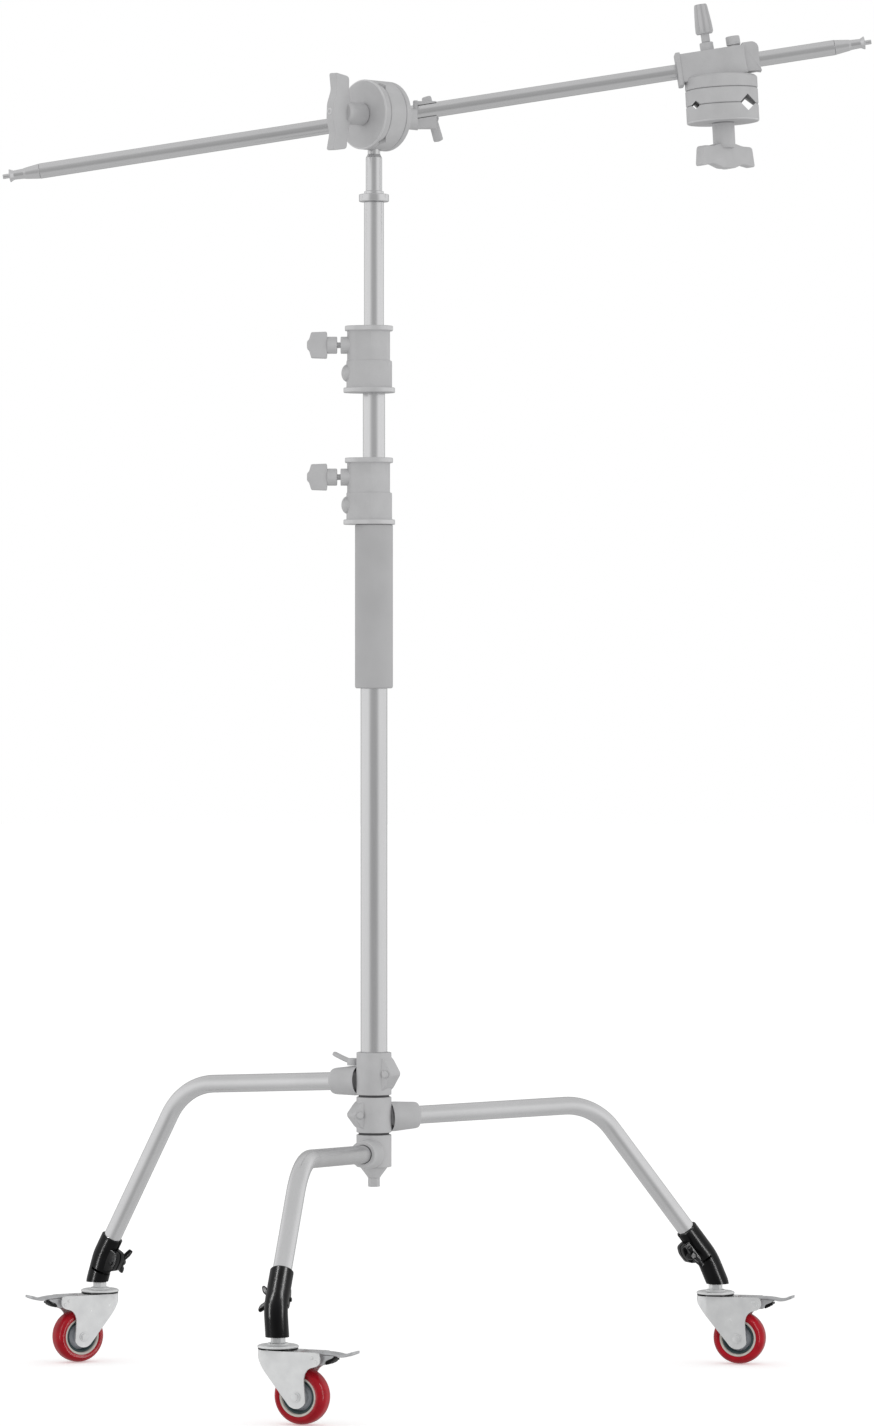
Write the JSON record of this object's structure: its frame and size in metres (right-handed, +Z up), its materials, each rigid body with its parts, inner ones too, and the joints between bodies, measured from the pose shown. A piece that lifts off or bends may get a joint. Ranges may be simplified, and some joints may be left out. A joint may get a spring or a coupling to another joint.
{
  "type": "c stand",
  "caption": "A rolling C stand: three-leg base on braked casters, telescoping column with two clamp collars, a grip head on the stud and a boom arm carrying a second grip head.",
  "frame": {"origin": "centre of the whole object's box, on the floor", "axes": "+Z up, +X to the right along the boom, -Y towards the front"},
  "size_m": [1.2094, 0.8145, 1.907],
  "materials": {
    "tube": "satin chromed steel tube, pale",
    "casting": "matt cast alloy, light grey",
    "grip": "smooth light grey sleeve",
    "washer": "dark nylon spacer",
    "clamp_black": "satin black powder coat",
    "zinc": "bright zinc plate",
    "tyre": "glossy red urethane tread",
    "wheel": "moulded grey-green wheel core"
  },
  "bodies": {
    "base": {"base_column": "tube", "grip_sleeve": "grip", "base_collar": "casting", "bottom_hub": "casting", "lower_washer": "washer", "column_end_nut": "casting", "front_leg": "tube", "front_leg_clamp": "clamp_black", "front_caster_stem": "zinc"},
    "middle_leg": {"middle_hub": "casting", "right_leg": "tube", "right_leg_clamp": "clamp_black", "right_caster_stem": "zinc"},
    "leg_slider": {"upper_washer": "washer"},
    "top_leg": {"top_hub": "casting", "left_leg": "tube", "left_leg_clamp": "clamp_black", "left_caster_stem": "zinc"},
    "leg_lever": {"leg_lever": "casting"},
    "middle_riser": {"middle_riser": "tube", "riser_collar": "casting"},
    "top_riser": {"top_riser": "tube", "stud": "casting"},
    "base_collar_knob": {"base_collar_knob": "casting"},
    "riser_collar_knob": {"riser_collar_knob": "casting"},
    "head_pan": {"head_outer_jaw": "casting", "head_inner_jaw": "casting"},
    "head_tilt": {"head_receiver": "casting", "head_spindle": "zinc"},
    "head_handle": {"head_handle": "casting"},
    "head_lock_lever": {"head_lock_lever": "casting"},
    "boom": {"boom_tube": "tube", "boom_spigot_right": "tube", "boom_spigot_left": "tube"},
    "arm_clamp": {"arm_clamp_block": "casting", "arm_clamp_bolt": "zinc", "arm_spindle": "zinc"},
    "arm_clamp_knob": {"arm_clamp_knob": "casting"},
    "arm_jaws": {"arm_inner_jaw": "casting", "arm_outer_jaw": "casting"},
    "arm_handle": {"arm_handle": "casting"},
    "left_clamp_screw": {"left_clamp_screw": "clamp_black"},
    "left_swivel": {"left_fork": "zinc", "left_axle": "zinc"},
    "left_brake": {"left_brake_pedal": "zinc"},
    "left_wheel": {"left_tyre": "tyre", "left_wheel": "wheel"},
    "right_clamp_screw": {"right_clamp_screw": "clamp_black"},
    "right_swivel": {"right_fork": "zinc", "right_axle": "zinc"},
    "right_brake": {"right_brake_pedal": "zinc"},
    "right_wheel": {"right_tyre": "tyre", "right_wheel": "wheel"},
    "front_clamp_screw": {"front_clamp_screw": "clamp_black"},
    "front_swivel": {"front_fork": "zinc", "front_axle": "zinc"},
    "front_brake": {"front_brake_pedal": "zinc"},
    "front_wheel": {"front_tyre": "tyre", "front_wheel": "wheel"}
  },
  "joints": [
    {"name": "middle_leg_turn", "type": "hinge", "parent": "base", "child": "middle_leg", "pos_m": [-0.0871, 0.14, 0.366], "axis": [0, 0, 1], "range_deg": [-98, 0]},
    {"name": "leg_slide", "type": "slide", "parent": "base", "child": "leg_slider", "axis": [0, 0, 1], "range_m": [0, 0.25]},
    {"name": "top_leg_turn", "type": "hinge", "parent": "leg_slider", "child": "top_leg", "pos_m": [-0.0871, 0.14, 0.423], "axis": [0, 0, 1], "range_deg": [0, 80]},
    {"name": "leg_lever_turn", "type": "hinge", "parent": "top_leg", "child": "leg_lever", "pos_m": [-0.11694, 0.15829, 0.437], "axis": [0, 0, 1], "range_deg": [0, 120]},
    {"name": "middle_riser_slide", "type": "slide", "parent": "base", "child": "middle_riser", "axis": [0, 0, 1], "range_m": [-0.085, 0.7]},
    {"name": "top_riser_slide", "type": "slide", "parent": "middle_riser", "child": "top_riser", "axis": [0, 0, 1], "range_m": [-0.16, 0.68]},
    {"name": "base_collar_knob_turn", "type": "hinge", "parent": "base", "child": "base_collar_knob", "pos_m": [-0.1371, 0.14, 1.2455], "axis": [-1, 0, 0], "range_deg": [0, 270]},
    {"name": "riser_collar_knob_turn", "type": "hinge", "parent": "middle_riser", "child": "riser_collar_knob", "pos_m": [-0.1371, 0.14, 1.4275], "axis": [-1, 0, 0], "range_deg": [0, 270]},
    {"name": "head_pan_turn", "type": "hinge", "parent": "top_riser", "child": "head_pan", "pos_m": [-0.0871, 0.14, 1.7446], "axis": [0, 0, 1], "continuous": true},
    {"name": "head_tilt_turn", "type": "hinge", "parent": "head_pan", "child": "head_tilt", "pos_m": [-0.0871, 0.14, 1.7446], "axis": [0.7314, 0.682, 0], "range_deg": [-50, 50]},
    {"name": "head_handle_turn", "type": "hinge", "parent": "head_tilt", "child": "head_handle", "pos_m": [-0.0871, 0.14, 1.7446], "axis": [0.7314, 0.682, 0], "range_deg": [0, 360]},
    {"name": "head_lock_lever_turn", "type": "hinge", "parent": "head_tilt", "child": "head_lock_lever", "pos_m": [-0.0066, 0.224, 1.75], "axis": [0, 1, 0], "range_deg": [0, 180]},
    {"name": "boom_slide", "type": "slide", "parent": "head_tilt", "child": "boom", "axis": [0.9881, 0, 0.1537], "range_m": [-0.3, 0.47]},
    {"name": "arm_clamp_roll", "type": "hinge", "parent": "boom", "child": "arm_clamp", "pos_m": [0.3939, 0.20602, 1.8212], "axis": [0.9881, 0, 0.1537], "range_deg": [-90, 90]},
    {"name": "arm_clamp_knob_turn", "type": "hinge", "parent": "arm_clamp", "child": "arm_clamp_knob", "pos_m": [0.37957, 0.20602, 1.81897], "axis": [-0.1537, 0, 0.9881], "range_deg": [0, 360]},
    {"name": "arm_jaws_turn", "type": "hinge", "parent": "arm_clamp", "child": "arm_jaws", "pos_m": [0.39657, 0.20602, 1.77027], "axis": [-0.0523, 0, 0.9986], "continuous": true},
    {"name": "arm_handle_turn", "type": "hinge", "parent": "arm_clamp", "child": "arm_handle", "pos_m": [0.39657, 0.20602, 1.77027], "axis": [-0.0523, 0, 0.9986], "range_deg": [0, 360]},
    {"name": "left_clamp_screw_turn", "type": "hinge", "parent": "top_leg", "child": "left_clamp_screw", "pos_m": [-0.45726, 0.36683, 0.13983], "axis": [-0.5225, -0.8526, 0], "range_deg": [0, 180]},
    {"name": "left_swivel_turn", "type": "hinge", "parent": "top_leg", "child": "left_swivel", "pos_m": [-0.47931, 0.38035, 0.1], "axis": [0, 0, 1], "continuous": true},
    {"name": "left_brake_turn", "type": "hinge", "parent": "left_swivel", "child": "left_brake", "pos_m": [-0.53128, 0.35035, 0.086], "axis": [0.5, -0.866, 0], "range_deg": [0, 12]},
    {"name": "left_wheel_spin", "type": "hinge", "parent": "left_swivel", "child": "left_wheel", "pos_m": [-0.50962, 0.36285, 0.03704], "axis": [0.5, -0.866, 0], "continuous": true},
    {"name": "right_clamp_screw_turn", "type": "hinge", "parent": "middle_leg", "child": "right_clamp_screw", "pos_m": [0.35363, 0.33163, 0.15464], "axis": [-0.3987, 0.9171, 0], "range_deg": [0, 180]},
    {"name": "right_swivel_turn", "type": "hinge", "parent": "middle_leg", "child": "right_swivel", "pos_m": [0.39436, 0.34934, 0.1], "axis": [0, 0, 1], "continuous": true},
    {"name": "right_brake_turn", "type": "hinge", "parent": "right_swivel", "child": "right_brake", "pos_m": [0.45231, 0.33381, 0.086], "axis": [0.2588, 0.9659, 0], "range_deg": [0, 12]},
    {"name": "right_wheel_spin", "type": "hinge", "parent": "right_swivel", "child": "right_wheel", "pos_m": [0.42816, 0.34029, 0.03704], "axis": [0.2588, 0.9659, 0], "continuous": true},
    {"name": "front_clamp_screw_turn", "type": "hinge", "parent": "base", "child": "front_clamp_screw", "pos_m": [-0.20136, -0.3287, 0.15809], "axis": [0.9715, -0.2368, 0], "range_deg": [0, 180]},
    {"name": "front_swivel_turn", "type": "hinge", "parent": "base", "child": "front_swivel", "pos_m": [-0.20599, -0.34772, 0.1], "axis": [0, 0, 1], "continuous": true},
    {"name": "front_brake_turn", "type": "hinge", "parent": "front_swivel", "child": "front_brake", "pos_m": [-0.15161, -0.37307, 0.086], "axis": [0.4226, 0.9063, 0], "range_deg": [0, 12]},
    {"name": "front_wheel_spin", "type": "hinge", "parent": "front_swivel", "child": "front_wheel", "pos_m": [-0.17427, -0.36251, 0.03704], "axis": [0.4226, 0.9063, 0], "continuous": true}
  ]
}
